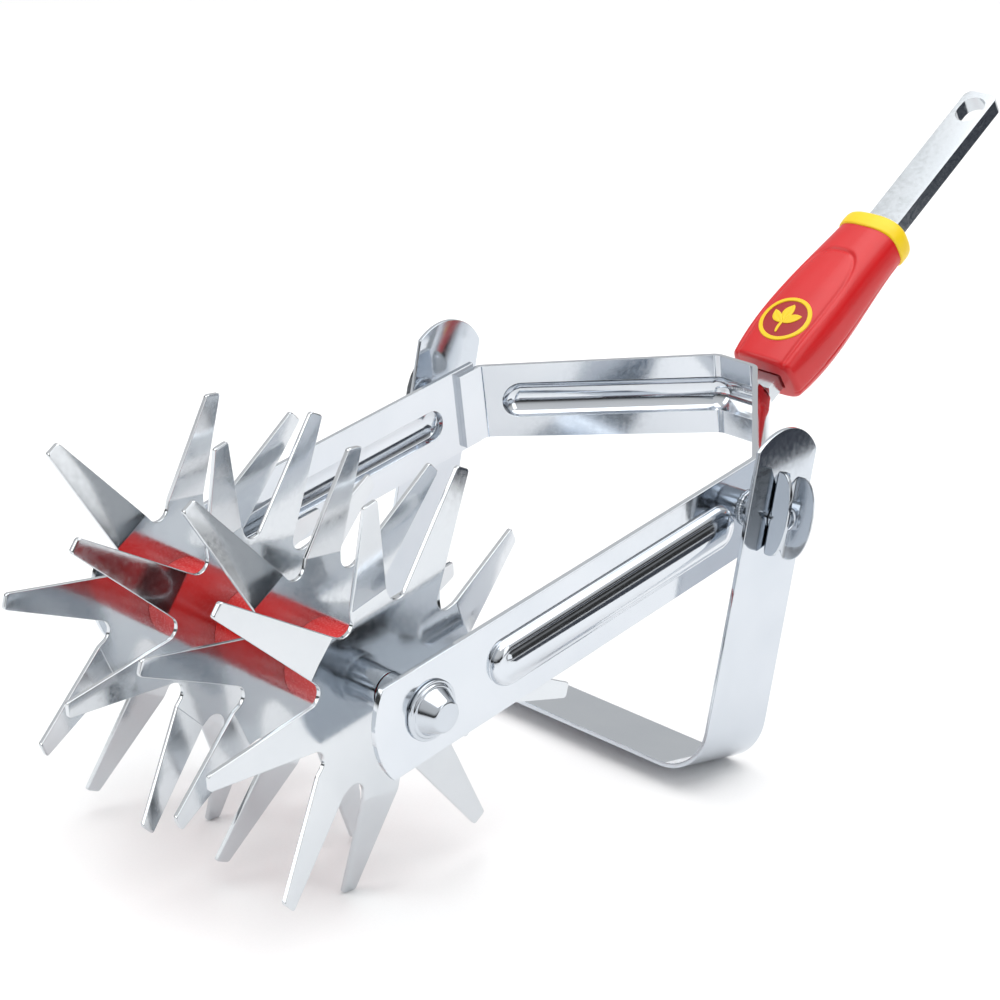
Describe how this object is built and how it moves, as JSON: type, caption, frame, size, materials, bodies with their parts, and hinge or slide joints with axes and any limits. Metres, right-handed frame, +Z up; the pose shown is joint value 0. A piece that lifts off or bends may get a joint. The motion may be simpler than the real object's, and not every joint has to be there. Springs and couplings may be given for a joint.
{
  "type": "star disc soil crumbler head",
  "caption": "Hand soil crumbler head: spiked star discs roll on an axle, a swinging stirrup hoe trails behind, and a gripped flat bar plugs into a pole.",
  "frame": {"origin": "centre of the bounding box's base, on the ground the tool stands on", "axes": "+X across the tool along the axle, +Y from the star discs towards the pole, +Z up"},
  "size_m": [0.2218, 0.5578, 0.2291],
  "materials": {
    "bright_zinc": "bright zinc plated sheet steel, close to a mirror",
    "turned_steel": "bright zinc plated fittings",
    "weld_bead": "plated weld bead, slightly rough",
    "grip_red": "satin moulded plastic",
    "spacer_red": "glossy moulded plastic tube",
    "collar_yellow": "satin moulded plastic",
    "badge_yellow": "printed plastic disc"
  },
  "bodies": {
    "frame": {"arm_left": "bright_zinc", "arm_right": "bright_zinc", "yoke": "bright_zinc", "yoke_weld_left": "weld_bead", "yoke_weld_right": "weld_bead", "pivot_stud_left": "turned_steel", "pivot_stud_right": "turned_steel", "stud_weld_left": "weld_bead", "stud_weld_right": "weld_bead", "connector_tang": "bright_zinc", "tang_weld": "weld_bead", "grip_sleeve": "grip_red", "collar_ring": "collar_yellow", "emblem_badge": "badge_yellow", "axle_rod": "turned_steel", "axle_cap_left": "turned_steel", "axle_cap_right": "turned_steel", "thrust_washer_left": "turned_steel", "thrust_washer_right": "turned_steel", "end_sleeve_left": "turned_steel", "end_sleeve_right": "turned_steel"},
    "star_roller": {"star_disc_1": "bright_zinc", "star_disc_2": "bright_zinc", "star_disc_3": "bright_zinc", "star_disc_4": "bright_zinc", "spacer_1": "spacer_red", "spacer_2": "spacer_red", "spacer_3": "spacer_red"},
    "stirrup": {"stirrup": "bright_zinc"},
    "wing_nut_left": {"wing_nut_left": "turned_steel"},
    "wing_nut_right": {"wing_nut_right": "turned_steel"}
  },
  "joints": [
    {"name": "roller_spin", "type": "hinge", "parent": "frame", "child": "star_roller", "pos_m": [0, -0.1899, 0.08868], "axis": [1, 0, 0], "continuous": true},
    {"name": "stirrup_swing", "type": "hinge", "parent": "frame", "child": "stirrup", "pos_m": [0, -0.00383, 0.11554], "axis": [1, 0, 0], "range_deg": [-33, 75]},
    {"name": "wing_nut_left_turn", "type": "hinge", "parent": "frame", "child": "wing_nut_left", "pos_m": [-0.099, -0.00383, 0.11554], "axis": [-1, 0, 0], "continuous": true},
    {"name": "wing_nut_right_turn", "type": "hinge", "parent": "frame", "child": "wing_nut_right", "pos_m": [0.099, -0.00383, 0.11554], "axis": [1, 0, 0], "continuous": true}
  ]
}
